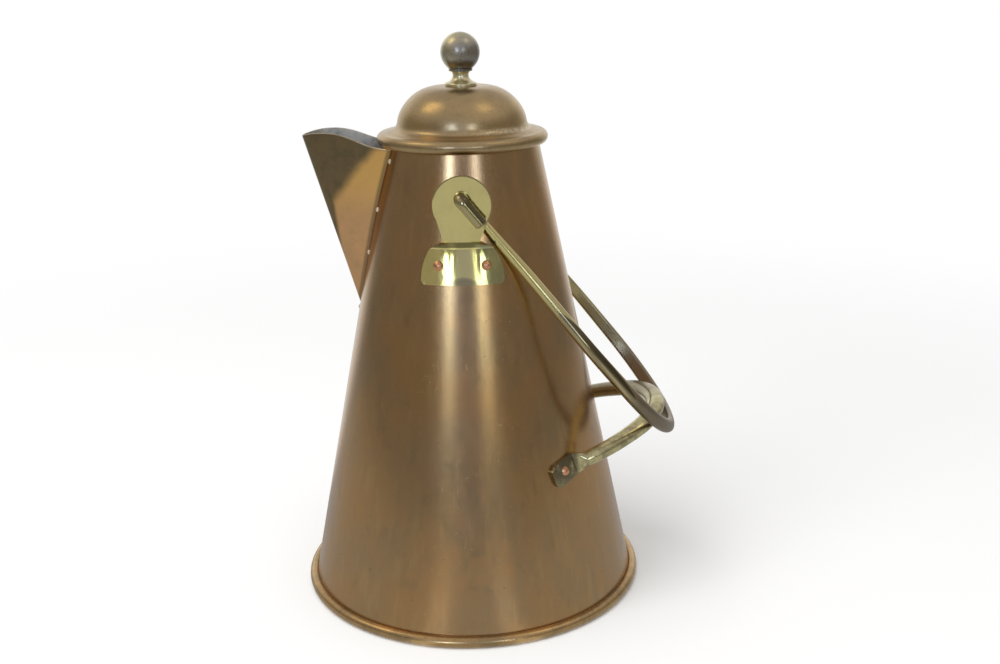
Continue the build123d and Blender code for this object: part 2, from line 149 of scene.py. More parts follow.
class Finish:
    """A node tree being mixed, for a material or for the world."""

    def __init__(self, owner):
        owner.use_nodes = True
        self.owner = owner
        self.tree = owner.node_tree

    def feed(self, socket, value):
        if isinstance(value, Flow):
            self.tree.links.new(value.socket, socket)
        else:
            socket.default_value = value

    def node(self, kind, settings=(), values=(), out=0):
        """Adds a node: its settings first, then the values or links of its sockets by place or name."""
        made = self.tree.nodes.new(kind)
        for key, value in dict(settings).items():
            setattr(made, key, value)
        pairs = values.items() if isinstance(values, dict) else enumerate(values)
        for key, value in pairs:
            self.feed(made.inputs[key], value)
        return Flow(self, made.outputs[out]) if made.outputs else None

    def mix(self, share, first, second):
        """Colour that goes from first to second as share goes from 0 to 1."""
        colours = [c if isinstance(c, Flow) else (*c, 1.0) for c in (first, second)]
        values = {MIX_SHARE: share, MIX_FIRST: colours[0], MIX_SECOND: colours[1]}
        return self.node("ShaderNodeMix", {"data_type": "RGBA"}, values, out=MIX_COLOUR)

    def place(self):
        return self.node("ShaderNodeTexCoord", out="Object")

    def axes(self, where=None):
        """The x, y and z of a vector, or else of the point itself, in metres."""
        split = self.node("ShaderNodeSeparateXYZ", (), [where or self.place()])
        outputs = split.socket.node.outputs
        return [Flow(self, outputs[k]) for k in range(3)]

    def noise(self, size, detail, rough, stretch=(1, 1, 1), twist=0.0):
        """Cloudy value from 0 to 1. Its blots are about `size` metres, drawn out by stretch."""
        scale = [1 / (size * k) for k in stretch]
        where = self.node("ShaderNodeMapping", (), {"Vector": self.place(), "Scale": scale})
        values = {"Vector": where, "Scale": 1.0, "Detail": detail, "Roughness": rough, "Distortion": twist}
        return self.node("ShaderNodeTexNoise", (), values)

    def step(self, value, low, high, start=0.0, end=1.0):
        """Smooth step of value from start at low to end at high."""
        values = [value, low, high, start, end]
        return self.node("ShaderNodeMapRange", {"interpolation_type": "SMOOTHSTEP"}, values)

    def band(self, value, centre, half, soft):
        """1 where value is within half of centre, falling smoothly to 0 over soft."""
        return self.step(abs(value - centre), half, half + soft, 1.0, 0.0)

    def bearing(self, x, y):
        """Degrees round the upright axis: 0 on the camera's side, and rising to the right."""
        return self.node("ShaderNodeMath", {"operation": "ARCTAN2"}, [x, y * -1]) * DEGREES

    def attribute(self, name):
        """A value that the mesh carries at each of its points."""
        return self.node("ShaderNodeAttribute", {"attribute_name": name}, out="Fac")

    def measure(self, operation, *vectors):
        return self.node("ShaderNodeVectorMath", {"operation": operation}, vectors, out="Value")

    def ray(self, kind):
        """1 for rays of one kind: Camera, Glossy or Transmission."""
        return self.node("ShaderNodeLightPath", out=f"Is {kind} Ray")


def from_axis(x, y):
    """Distance from the axis that stands at x = y = 0."""
    return (x * x + y * y) ** 0.5


print("Flow and Finish are ready")

# %% [markdown]
# ## The studio
# Polished metal has hardly any colour of its own: it shows the room. In the photograph the background is
# white, yet the copper is brown with two narrow pale streaks, so the room behind the camera was dim, with
# two tall bright windows, and the white began at the sides. The world below is that room, with a grey pier
# between the windows and two ceiling lamps, which make the bright spots on the lid. Camera rays see plain
# white. Mirror rays see the room, its windows, its lamps and the white backdrop. All other rays get an even
# soft light.
#
# A bearing is an angle in degrees round the kettle. A height is the upward part of a direction of length 1.
# A pair says where something begins and where it is whole, so a falling pair is the top of something.

# %% The room that the metal reflects
ROOM_LOWER = (0.28, 0.257, 0.228)
ROOM_UPPER = (0.54, 0.52, 0.53)
UPPER_FROM = (0.25, 0.6)
BACKDROP = ((-112.0, -148.0), (118.0, 162.0))
BACKDROP_TOP = (0.60, 0.36)
SOFT_LIGHT = 0.66
WHITE = (1, 1, 1, 1)
# The pier and each window: its middle's bearing, half its width, its soft edge, and its colours from below.
PIER = (1.0, 8.0, 8.0, (0.31, 0.31, 0.40))
PIER_TOP = (0.5, 0.3)
WINDOWS = ((19.0, 3.2, 4.2, (4.6, 5.2, 4.1), (2.6, 3.1, 4.6)),
           (-17.0, 2.0, 4.4, (4.8, 5.8, 5.4), (5.6, 7.2, 11.0)))
WINDOW_SILL = (0.065, 0.160)
WINDOW_TOP = (0.44, 0.28)
HIGH_PANES = (0.14, 0.21)
# Each ceiling lamp: its direction, the cosines where its edge begins and its core starts, and its colour.
CEILING_LAMPS = (((-0.581, 0.025, 0.814), 0.968, 0.994, (1.9, 1.6, 1.1)),
                 ((0.485, -0.098, 0.870), 0.976, 0.995, (1.3, 1.15, 0.9)))


def round_the_back(tree, bearing):
    """1 where the white backdrop stands, behind the kettle."""
    left, right = BACKDROP
    return tree.step(bearing, *left) + tree.step(bearing, *right)


def studio_world():
    """White for the camera, a room for reflections, even light for the rest."""
    world = bpy.data.worlds.new("studio_world")
    scene.world = world
    room = Finish(world)
    room.tree.nodes.clear()
    heading = room.node("ShaderNodeTexCoord", out="Generated")
    x, y, z = room.axes(heading)
    bearing = room.bearing(x, y)
    seen = room.mix(room.step(z, *UPPER_FROM), ROOM_LOWER, ROOM_UPPER)
    tall = room.step(z, *WINDOW_SILL) * room.step(z, *WINDOW_TOP)
    centre, half, soft, grey = PIER
    seen = room.mix(room.band(bearing, centre, half, soft) * room.step(z, *PIER_TOP), seen, grey)
    for centre, half, soft, low_panes, high_panes in WINDOWS:
        glass = room.mix(room.step(z, *HIGH_PANES), low_panes, high_panes)
        seen = room.mix(room.band(bearing, centre, half, soft) * tall, seen, glass)
    seen = room.mix(round_the_back(room, bearing) * room.step(z, *BACKDROP_TOP), seen, WHITE[:3])
    for towards, edge, core, glow in CEILING_LAMPS:
        near = room.measure("DOT_PRODUCT", heading, towards)
        seen = room.mix(room.step(near, edge, core), seen, glow)
    mirror = (room.ray("Glossy") + room.ray("Transmission")).held()
    plain = room.ray("Camera") * (1 - SOFT_LIGHT) + SOFT_LIGHT
    even = room.node("ShaderNodeBackground", (), {"Color": WHITE, "Strength": plain})
    around = room.node("ShaderNodeBackground", (), {"Color": seen, "Strength": 1.0})
    both = room.node("ShaderNodeMixShader", (), [mirror, even, around])
    room.node("ShaderNodeOutputWorld", (), [both])


studio_world()
print("the room has", len(WINDOWS), "windows")

# %% [markdown]
# ## Floor and lamps
# The kettle stands on a plain pale sheet that keeps its shadow. The real sheet was small, so in mirrors this
# one is bright only near the kettle, fades into a floor that is a little darker than the room, glows under
# each window, and has a pale patch far out in front, which is what the flat lug reflects. Behind the kettle
# it is as white as the backdrop. Pairs read as in the room, and widths are in degrees. One wide lamp hangs
# overhead and one stands to the left of the camera.

# %% Floor and lamps
FLOOR_HALF = 9.0
SHEET_COLOUR = (0.94, 0.94, 0.935, 1)
PLAIN_WHITE_FROM = (0.30, 1.1)
NEAR_IN_MIRRORS = 0.474
FAR_IN_MIRRORS = 0.234
BACK_IN_MIRRORS = 0.95
SHEET_ENDS = (1.6, 0.4)
GLOW = 0.28
GLOW_ENDS = (0.9, 0.3)
GLOW_WIDTH = (2, 5)
PATCH = 0.85
PATCH_WIDTH = (-2, 4, 3)
PATCH_FROM = (0.8, 1.05)
PATCH_ENDS = (2.8, 1.8)
LAMPS = (("overhead_lamp", (-0.5, -0.6, 1.9), 1.6, 22.0), ("side_lamp", (-1.6, -1.4, 1.1), 1.0, 9.0))
LAMP_AIM = (0, 0, 0.15)


def pale_sheet():
    """A flat square at the kettle's foot: matt near it, plain white further off, and dimmer in mirrors."""
    signs = ((-1, -1), (1, -1), (1, 1), (-1, 1))
    corners = [(across * FLOOR_HALF, back * FLOOR_HALF, 0) for across, back in signs]
    mesh = bpy.data.meshes.new("studio_floor")
    mesh.from_pydata(corners, [], [(0, 1, 2, 3)])
    floor = put("studio_floor", mesh)
    paper = Finish(bpy.data.materials.new("pale_paper"))
    paper.tree.nodes.clear()
    away = paper.measure("LENGTH", paper.place())
    matt = paper.node("ShaderNodeBsdfDiffuse", (), {"Color": SHEET_COLOUR})
    white = paper.node("ShaderNodeEmission", (), {"Color": WHITE, "Strength": 1.0})
    far = paper.step(away, *PLAIN_WHITE_FROM) * paper.ray("Camera")
    lit = paper.node("ShaderNodeMixShader", (), [far, matt, white])
    bearing = paper.bearing(*paper.axes()[:2])
    under = [paper.band(bearing, window[0], *GLOW_WIDTH) for window in WINDOWS]
    glow = (under[0] + under[1]) * paper.step(away, *GLOW_ENDS) * GLOW
    patch = paper.band(bearing, *PATCH_WIDTH) * paper.step(away, *PATCH_FROM) * paper.step(away, *PATCH_ENDS)
    sheet = paper.step(away, *SHEET_ENDS).higher(patch * PATCH)
    front = sheet * (NEAR_IN_MIRRORS - FAR_IN_MIRRORS) + FAR_IN_MIRRORS + glow
    dimming = front.higher(round_the_back(paper, bearing) * BACK_IN_MIRRORS)
    dim = paper.node("ShaderNodeEmission", (), {"Color": WHITE, "Strength": dimming})
    seen = paper.node("ShaderNodeMixShader", (), [paper.ray("Glossy"), lit, dim])
    paper.node("ShaderNodeOutputMaterial", (), [seen])
    mesh.materials.append(paper.owner)


def lamp(name, at, size, power):
    """A soft square lamp aimed at the kettle. Mirrors show the room's windows instead of it."""
    light = bpy.data.lights.new(name, "AREA")
    light.size = size
    light.energy = power
    thing = put(name, light)
    thing.location = at
    thing.rotation_euler = (Vector(LAMP_AIM) - Vector(at)).to_track_quat("-Z", "Y").to_euler()
    thing.visible_glossy = False


pale_sheet()
for each in LAMPS:
    lamp(*each)
print(len(LAMPS), "lamps and a floor", 2 * FLOOR_HALF, "m wide")

# %% [markdown]
# ## Finishes
# Old metal is never one colour. Each finish below starts from the clean metal, lays clouds of tarnish over
# it, draws out fine lines where it was rubbed, and lets the polish vary: dull where it is dark, bright where
# it is worn. `step(noise, low, high)` turns a cloudy value into patches, softer as low and high lie further
# apart.

# %% What every finish shares
def new_finish(name, metallic=1.0):
    """A finish with its shader ready."""
    finish = Finish(bpy.data.materials.new(name))
    finish.shader = finish.tree.nodes["Principled BSDF"]
    finish.shader.inputs["Metallic"].default_value = metallic
    return finish


def settle(finish, colour, roughness, height, depth):
    """Joins colour, roughness and relief to the shader. Depth is the relief's real height in metres."""
    finish.feed(finish.shader.inputs["Base Color"], colour)
    finish.feed(finish.shader.inputs["Roughness"], roughness)
    bump = finish.node("ShaderNodeBump", (), {"Strength": 1.0, "Distance": depth, "Height": height})
    finish.feed(finish.shader.inputs["Normal"], bump)
    return finish.owner


def brushed(finish, size=0.0006, length=60):
    """Fine lines that run up and down the wall."""
    return finish.noise(size, 2.0, 0.6, (1, 1, length))


print("three helpers are ready")

# %% [markdown]
# ## Copper and bronze
# The body was rubbed up and down for years, so its lines are upright and its tarnish lies in clouds. The lid
# was spun, so its lines run round it, and polish has dried in the crease where the dome meets the flange.

# %% Copper and lid bronze
LID_CREASE_R = 0.0408
CREASE_TOP = (0.2975, 0.2955)


def aged_copper():
    """Brown, hand-rubbed sheet copper: clouds of tarnish, upright rubbing lines, and small dull spots.

    The attribute `inside` marks the inner face, which is tinned."""
    f = new_finish("aged_copper")
    brown, olive, red = (0.52, 0.312, 0.138), (0.45, 0.302, 0.158), (0.56, 0.31, 0.13)
    dark, golden, dull = (0.36, 0.25, 0.13), (0.58, 0.39, 0.18), (0.24, 0.17, 0.10)
    pale_tin, grey_tin = (0.50, 0.49, 0.46), (0.32, 0.31, 0.28)
    cloud = f.noise(0.055, 4.0, 0.55)
    blot = f.noise(0.011, 5.0, 0.6, (1, 1, 1.8), 0.4)
    lines = brushed(f)
    streak = f.noise(0.006, 3.0, 0.6, (1, 1, 30))
    colour = f.mix(f.step(cloud, 0.35, 0.65), brown, olive)
    colour = f.mix(f.step(blot, 0.5, 0.72) * 0.45, colour, red)
    colour = f.mix(f.step(blot, 0.46, 0.28) * 0.5, colour, dark)
    colour = f.mix(f.step(streak, 0.5, 0.7) * 0.35, colour, golden)
    spots = f.step(f.noise(0.0022, 2.0, 0.5), 0.70, 0.78)
    colour = f.mix(spots * 0.5, colour, dull)
    inside = f.attribute("inside")
    colour = f.mix(inside, colour, f.mix(f.step(blot, 0.40, 0.62), pale_tin, grey_tin))
    f.feed(f.shader.inputs["Metallic"], 1 - inside * 0.5)
    rough = 0.14 + blot * 0.08 + lines * 0.10 + spots * 0.2 + inside * 0.25
    return settle(f, colour, rough, lines * 0.5 + blot * 0.5, depth=0.00003)


def lid_bronze():
    """Duller, evenly darkened copper, with old polish left in the crease."""
    f = new_finish("lid_bronze")
    light, brown = (0.53, 0.385, 0.19), (0.44, 0.325, 0.175)
    dark, old_polish = (0.27, 0.20, 0.12), (0.74, 0.68, 0.54)
    cloud = f.noise(0.02, 5.0, 0.6)
    speck = f.noise(0.0016, 3.0, 0.6)
    x, y, z = f.axes()
    ring = f.noise(0.0011, 2.0, 0.6, (30, 30, 1))
    colour = f.mix(f.step(cloud, 0.35, 0.65), light, brown)
    colour = f.mix(f.step(speck, 0.52, 0.8) * 0.5, colour, dark)
    crease = f.band(from_axis(x, y), LID_CREASE_R, 0.0010, 0.0012) * f.step(z, *CREASE_TOP)
    crease = crease * f.step(speck, 0.46, 0.56)
    colour = f.mix(crease * f.step(x, -0.01, 0.03, 0.06, 0.6), colour, old_polish)
    rough = 0.19 + cloud * 0.10 + speck * 0.12
    return settle(f, colour, rough, speck * 0.6 + ring * 0.4, depth=0.00004)


print("copper and bronze are ready to mix")

# %% [markdown]
# ## Brass
# The lugs and the bail are polished brass, and the marks on them have their places: painted shade in black
# along the fold of each lug, painted shade as a dark rim round the upper part of its round plate, green
# corners on its foot, and on the folded end of the bail a painted dark reflection, with painted shade on its
# upper side. Each mark is a mask worked out from the point's own x, y and z, in metres. `above_leg` is the
# distance above the resting bail's leg, so that the mark on the lug's foot stops short of it. The pivot's
# height is in millimetres, for the bail's grid.

# %% Brass
PIVOT_Z = 261.7
BAIL_ANGLE = 50.98
FOLD_Z = 0.2343
FOLD_HALF_WIDTH = (0.0200, 0.0192)
PLATE_CENTRE = (0.0008, 0.2575)
PLATE_RIM = (0.0162, 0.0167)
PLATE_SIDE = (0.0600, 0.0604)
HOOK_SIDE = (0.0627, 0.0632)
CORNER_FROM = (0.006, 0.013)
CORNER_END = (0.0260, 0.0245)
CORNER_TOP = (0.2350, 0.2325)


def brass():
    """Yellow polished brass. The attribute `dulled` marks where hands and soot have left it grey."""
    f = new_finish("polished_brass")
    yellow, deep, grey = (0.95, 0.84, 0.36), (0.82, 0.71, 0.30), (0.285, 0.232, 0.160)
    specks, black, green = (0.20, 0.175, 0.09), (0.13, 0.11, 0.04), (0.42, 0.43, 0.24)
    plate_rim_painted_shade, hook_painted_reflection, hook_shade = (0.30, 0.26, 0.11), (0.40, 0.335, 0.19), (0.10, 0.08, 0.045)
    dulled = f.attribute("dulled")
    cloud = f.noise(0.012, 5.0, 0.6, (1, 1, 1.6), 0.3)
    speck = f.noise(0.0012, 3.0, 0.6)
    rub = f.noise(0.0005, 2.0, 0.6, (1, 1, 24))
    colour = f.mix(f.step(cloud, 0.42, 0.72) * 0.6, yellow, deep)
    colour = f.mix(dulled * (0.75 + cloud * 0.4), colour, grey)
    colour = f.mix(f.step(speck, 0.60, 0.78) * (0.25 + dulled * 0.4), colour, specks)
    x, y, z = f.axes()
    # Painted shade: black along the fold of each lug, where the underside of the bend is in shade.
    fold = f.band(z, FOLD_Z, 0.0014, 0.0010) * f.step(abs(x), *FOLD_HALF_WIDTH)
    colour = f.mix(fold * 0.85, colour, black)
    above_leg = x * sin(radians(BAIL_ANGLE)) + (z - PIVOT_Z * MM) * cos(radians(BAIL_ANGLE))
    corners = f.step(x, *CORNER_FROM) * f.step(x, *CORNER_END) * f.step(above_leg, -0.0034, -0.0040)
    colour = f.mix(corners * f.step(z, *CORNER_TOP) * (0.35 + cloud), colour, green)
    hook = f.step(abs(y), *HOOK_SIDE)
    # Painted shade: a dark rim round the upper part of each lug's round plate, where its edge is in shade.
    rim = f.step(from_axis(x - PLATE_CENTRE[0], z - PLATE_CENTRE[1]), *PLATE_RIM)
    rim = rim * f.step(abs(y), *PLATE_SIDE) * f.step(z + x * 0.6, 0.250, 0.256)
    colour = f.mix(rim * (1 - hook) * 0.8, colour, plate_rim_painted_shade)
    # Painted reflection: the bail's folded end is darkened for the dim room it reflects, and painted shade
    # makes its upper side darker still.
    colour = f.mix(hook * 0.75, colour, hook_painted_reflection)
    colour = f.mix(hook * f.step(above_leg, -0.0002, 0.0022) * 0.9, colour, hook_shade)
    rough = 0.07 + cloud * 0.07 + rub * 0.05 + dulled * (0.16 + speck * 0.14) * (1 - hook)
    return settle(f, colour, rough, rub * 0.5 + speck * 0.5, depth=0.000015)


print("the bail's leg hangs", BAIL_ANGLE, "degrees below level")

# %% [markdown]
# ## The handle, the knob and the small pieces
# The back handle is brass that nobody polishes, so it is mottled and darker on its flat tabs, and painted
# shade darkens the side away from the camera. The knob has painted shade under its ball and a painted
# highlight on the ball's left and top, and its foot is rubbed to brass.

# %% Handle brass, knob bronze and small metals
TAB_REACH = (0.0905, 0.0880)
TAB_SIDE = (0.055, 0.060)
FAR_SIDE = (-0.022, 0.018)
KNOB_FOOT_TOP = (0.3285, 0.3255)
BALL_UNDERSIDE = (0.338, 0.331)
BALL_TOP = (0.341, 0.347)


def aged_brass():
    """Olive brass of the back handle: painted shade on its far side, mottled dark tabs, and yellow on the
    near arm.
    """
    f = new_finish("aged_brass")
    yellow, olive, shaded = (0.70, 0.63, 0.33), (0.44, 0.39, 0.22), (0.36, 0.32, 0.23)
    tab_brown, black, dark = (0.24, 0.20, 0.12), (0.07, 0.06, 0.035), (0.17, 0.15, 0.09)
    x, y = f.axes()[:2]
    cloud = f.noise(0.007, 5.0, 0.65, (1, 1, 1), 0.3)
    speck = f.noise(0.0009, 3.0, 0.65)
    # Painted shade: the handle's side away from the camera is mixed towards the shaded colour.
    far = f.step(y, *FAR_SIDE)
    tab = f.step(from_axis(x, y), *TAB_REACH) * f.step(abs(y), *TAB_SIDE)
    colour = f.mix(f.step(cloud, 0.40, 0.62), yellow, olive)
    colour = f.mix(far * 0.85, colour, shaded)
    colour = f.mix(tab * f.step(cloud + speck * 0.25, 0.36, 0.62), colour, tab_brown)
    pits = f.step(f.noise(0.0005, 2.0, 0.6), 0.50, 0.62)
    colour = f.mix(tab * pits * 0.5, colour, black)
    colour = f.mix(f.step(speck, 0.56, 0.76) * 0.6, colour, dark)
    rough = 0.15 + cloud * 0.12 + far * 0.12 + f.step(speck, 0.55, 0.8) * 0.2
    return settle(f, colour, rough, cloud * 0.6 + speck * 0.4, depth=0.00006)


def knob_bronze():
    """Grey-brown bronze with painted shade under the ball, a painted brass-yellow highlight on the ball's
    left and top, and its foot rubbed to brass.
    """
    f = new_finish("knob_bronze")
    grey, brown, underside = (0.34, 0.325, 0.30), (0.38, 0.34, 0.27), (0.15, 0.145, 0.13)
    brass_wear_and_highlight, dark = (0.86, 0.78, 0.49), (0.12, 0.11, 0.10)
    cloud = f.noise(0.009, 4.0, 0.55)
    speck = f.noise(0.0012, 3.0, 0.6)
    x, z = f.axes()[::2]
    # Painted highlight: the ball's left and top turn brass yellow where the lamps shine on it. The foot's
    # brass is real wear, and `rubbed` holds both.
    left = f.step(x, 0.001, -0.008) * f.step(z, 0.318, 0.334) * 0.5
    rubbed = left + f.step(z, *KNOB_FOOT_TOP) + f.step(z, *BALL_TOP) * 0.5
    colour = f.mix(f.step(cloud, 0.42, 0.62), grey, brown)
    # Painted shade under the ball.
    colour = f.mix(f.step(z, *BALL_UNDERSIDE) * 0.75, colour, underside)
    colour = f.mix((rubbed * (0.4 + cloud)).held(), colour, brass_wear_and_highlight)
    colour = f.mix(f.step(speck, 0.52, 0.74) * 0.5, colour, dark)
    return settle(f, colour, 0.23 + cloud * 0.1 + speck * 0.1, speck, depth=0.00003)


def small_metal(name, clean, dark, polish, metallic=1.0):
    """Plain metal of a small piece, with dark specks and a little relief."""
    f = new_finish(name, metallic)
    cloud = f.noise(0.0035, 4.0, 0.6)
    colour = f.mix(f.step(cloud, 0.40, 0.72), clean, dark)
    return settle(f, colour, polish + cloud * 0.15, cloud, depth=0.00005)


finishes = {
    "aged_copper": aged_copper(),
    "lid_bronze": lid_bronze(),
    "polished_brass": brass(),
    "aged_brass": aged_brass(),
    "knob_bronze": knob_bronze(),
    "rivet_copper": small_metal("rivet_copper", (0.85, 0.45, 0.25), (0.48, 0.24, 0.13), 0.16),
    "solder": small_metal("solder", (0.92, 0.82, 0.62), (0.62, 0.50, 0.34), 0.32, 0.7),
    "iron_wire": small_metal("iron_wire", (0.36, 0.34, 0.32), (0.20, 0.15, 0.11), 0.40),
    "stud_steel": small_metal("stud_steel", (0.42, 0.40, 0.37), (0.25, 0.20, 0.16), 0.35),
}
print(len(finishes), "finishes mixed")

# %% [markdown]
# ## The bead and the spout
# These two pieces change across their own shape. Damp has turned the groove behind the bead black and green.
# The spout has painted shade, mottled brown and green, above a slanting line and along its keel, and it is
# black in the seam at the wall. Each line is a point on it, as x and z, and its slope. TAPER is how fast the
# body's radius falls with height.

# %% Finishes of the bead and the spout
GROOVE = (0.1049, 0.1040)
TAPER = 0.2062
SLANT_AT = (-0.0530, 0.283)
SLANT = 1.243
KEEL_AT = (-0.0672, 0.185)
KEEL_LEAN = 0.286
KEEL_BAND_FROM = 0.220
KEEL_BAND = 0.2
SEAM_R = (0.1082, 0.1064)


def bottom_bead():
    """Golden brown rolled rim, green and black in its groove."""
    f = new_finish("bottom_bead")
    golden, brown, dark = (0.57, 0.375, 0.17), (0.40, 0.28, 0.14), (0.25, 0.18, 0.11)
    black, verdigris = (0.12, 0.09, 0.06), (0.16, 0.30, 0.21)
    reach = from_axis(*f.axes()[:2])
    cloud = f.noise(0.014, 5.0, 0.6)
    speck = f.noise(0.0018, 3.0, 0.6)
    colour = f.mix(f.step(cloud, 0.38, 0.66), golden, brown)
    colour = f.mix(f.step(speck, 0.52, 0.75) * 0.5, colour, dark)
    groove = f.step(reach, *GROOVE)
    colour = f.mix(groove * 0.7, colour, black)
    colour = f.mix(groove * f.step(cloud + speck * 0.3, 0.66, 0.76), colour, verdigris)
    f.feed(f.shader.inputs["Metallic"], 1 - groove * 0.7)
    return settle(f, colour, 0.20 + cloud * 0.14 + groove * 0.3, speck * 0.6 + cloud * 0.4, depth=0.00006)


def tinned_spout():
    """Warm copper outside and grey tin where the attribute `inside` says. `edge` marks worn edges."""
    f = new_finish("tinned_spout_copper")
    warm, rosy, brown, golden = (0.86, 0.50, 0.23), (0.74, 0.44, 0.22), (0.48, 0.33, 0.17), (1.0, 0.60, 0.18)
    painted_shade_brown, painted_shade_green, seam_dark = (0.250, 0.180, 0.092), (0.200, 0.160, 0.085), (0.22, 0.15, 0.08)
    pale_tin, grey_tin, bright_tin = (0.46, 0.46, 0.43), (0.29, 0.30, 0.295), (0.62, 0.63, 0.60)
    worn = (0.72, 0.60, 0.42)
    inside = f.attribute("inside")
    edge = f.attribute("edge")
    cloud = f.noise(0.03, 4.0, 0.55)
    blot = f.noise(0.006, 4.0, 0.6)
    speck = f.noise(0.0016, 3.0, 0.6)
    lines = brushed(f, 0.0007, 40)
    copper = f.mix(f.step(cloud, 0.36, 0.64), warm, rosy)
    copper = f.mix(f.step(blot, 0.5, 0.7) * 0.25, copper, brown)
    x, y, z = f.axes()
    above = (z - SLANT_AT[1]) - (x - SLANT_AT[0]) * SLANT + (cloud - 0.5) * 0.012
    behind_keel = (x - KEEL_AT[0]) + (z - KEEL_AT[1]) * KEEL_LEAN - (z - KEEL_BAND_FROM) * KEEL_BAND
    # Painted shade: the spout is darkened above a slanting line and along its keel, mottled brown and green.
    shaded = f.step(above, -0.005, 0.007).higher(f.step(behind_keel, 0.0018, -0.0012))
    seam = f.step(from_axis(x, y) + z * TAPER, *SEAM_R)
    copper = f.mix(f.step(z + cloud * 0.02, 0.244, 0.280) * 0.8, copper, golden)
    copper = f.mix(shaded, copper, f.mix(f.step(blot, 0.40, 0.66), painted_shade_brown, painted_shade_green))
    copper = f.mix(seam * 0.7, copper, seam_dark)
    tin = f.mix(f.step(blot, 0.40, 0.62), pale_tin, grey_tin)
    tin = f.mix(f.step(speck, 0.60, 0.74) * 0.8, tin, bright_tin)
    colour = f.mix(inside, copper, tin)
    colour = f.mix(edge * 0.8, colour, worn)
    f.feed(f.shader.inputs["Metallic"], 1 - inside * 0.35)
    rough = 0.22 + lines * 0.08 + blot * 0.1 + inside * 0.22
    return settle(f, colour, rough, blot * 0.5 + speck * 0.5, depth=0.00005)


finishes["bottom_bead"] = bottom_bead()
finishes["tinned_spout_copper"] = tinned_spout()
print(len(finishes), "finishes in all")

# %% [markdown]
# ## Dressing the CAD nodes
# The record already says which finish each node has. A node whose shape is right as it is keeps its own mesh
# and only gets the new material.

# %% Dress the nodes
for part in frame["record"]["subparts"]:
    node = nodes[part["node"]]
    node.material_slots[0].material = finishes[part["material_slot"]]

# %% [markdown]
# ## Skins over grids
# The big sheet-metal pieces deserve a smoother skin than the CAD mesh. Each is a function of two parameters,
# such as the turn round the axis and the place along a profile, worked out for a whole grid of points at
# once. One helper joins the grid's points into faces, melts the points that meet, and turns every face
# outwards.

# %% A skin over a grid
SHARP = 34.0
MEET = 1e-7


def skin(name, grid, finish, body, replaced, rings, marks=None, keep=None, extra=None):
    """Joins each point of a grid, in millimetres, to the next in its row and its column. A ring meets itself.

    Marks are values at points, keep says which faces stay, and extra gives more faces by point numbers."""
    rows, columns = grid.shape[:2]
    index = np.arange(rows * columns, dtype=np.int32).reshape(rows, columns)
    index = np.concatenate([index, index[:1]]) if rings[0] else index
    index = np.concatenate([index, index[:, :1]], 1) if rings[1] else index
    faces = np.stack([index[:-1, :-1], index[:-1, 1:], index[1:, 1:], index[1:, :-1]], -1)
    faces = (faces if keep is None else faces[keep]).reshape(-1, 4)
    faces = faces if extra is None else np.concatenate([faces, extra]).astype(np.int32)
    mesh = bpy.data.meshes.new(name)
    mesh.vertices.add(rows * columns)
    mesh.vertices.foreach_set("co", (grid * MM).astype(np.float32).ravel())
    mesh.loops.add(faces.size)
    mesh.loops.foreach_set("vertex_index", faces.ravel())
    mesh.polygons.add(len(faces))
    mesh.polygons.foreach_set("loop_start", np.arange(0, faces.size, 4, dtype=np.int32))
    mesh.update(calc_edges=True)
    for mark, values in (marks or {}).items():
        layer = mesh.attributes.new(mark, "FLOAT", "POINT")
        layer.data.foreach_set("value", np.broadcast_to(values, (rows, columns)).astype(np.float32).ravel())
    melt = bmesh.new()
    melt.from_mesh(mesh)
    bmesh.ops.remove_doubles(melt, verts=melt.verts, dist=MEET)
    bmesh.ops.recalc_face_normals(melt, faces=melt.faces)
    melt.to_mesh(mesh)
    melt.free()
    mesh.shade_smooth()
    mesh.set_sharp_from_angle(angle=radians(SHARP))
    mesh.materials.append(finishes[finish])
    piece = put(name, mesh)
    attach(piece, body)
    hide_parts(*replaced)
    print(name, "has", len(mesh.polygons), "faces")


print("skins are sharp where they turn by more than", SHARP, "degrees")

# %% [markdown]
# ## Lines, circles and waves
# Every profile below is made of straight runs, arcs and smooth lines through a few measured points, and
# waves then take the machine-made look off it.

# %% Lines, circles and waves
WAVES = 9
TURNS = (2, 15)
STEEPEST = 0.07


def smooth_line(points, count, starts=None, ends=None):
    """Cubic curve through the points whose bend never jumps: its slopes there solve one linear system."""
    p = np.array(points, float)
    gap = np.linalg.norm(np.diff(p, axis=0), axis=1)
    n = len(p)
    system = np.zeros((n, n))
    right = np.zeros_like(p)
    k = np.arange(1, n - 1)
    system[k, k - 1] = gap[1:]
    system[k, k] = 2 * (gap[:-1] + gap[1:])
    system[k, k + 1] = gap[:-1]
    chord = np.diff(p, axis=0) / gap[:, None]
    right[1:-1] = 3 * (gap[1:, None] * chord[:-1] + gap[:-1, None] * chord[1:])
    system[0, :2] = (1, 0) if starts is not None else (2, 1)
    system[-1, -2:] = (0, 1) if ends is not None else (1, 2)
    right[0] = starts if starts is not None else 3 * chord[0]
    right[-1] = ends if ends is not None else 3 * chord[-1]
    slope = np.linalg.solve(system, right)
    place = np.concatenate([[0], np.cumsum(gap)])
    where = np.linspace(0, place[-1], count)
    k = np.clip(np.searchsorted(place, where, side="right") - 1, 0, n - 2)
    h = gap[k][:, None]
    t = ((where - place[k]) / gap[k])[:, None]
    curve = (2 * t ** 3 - 3 * t ** 2 + 1) * p[k] + (t ** 3 - 2 * t ** 2 + t) * h * slope[k]
    return curve + (3 * t ** 2 - 2 * t ** 3) * p[k + 1] + (t ** 3 - t ** 2) * h * slope[k + 1]


def round_turn(columns):
    """Angles of a grid's columns, once round the axis."""
    return np.linspace(0, 2 * np.pi, columns, endpoint=False)[None, :]


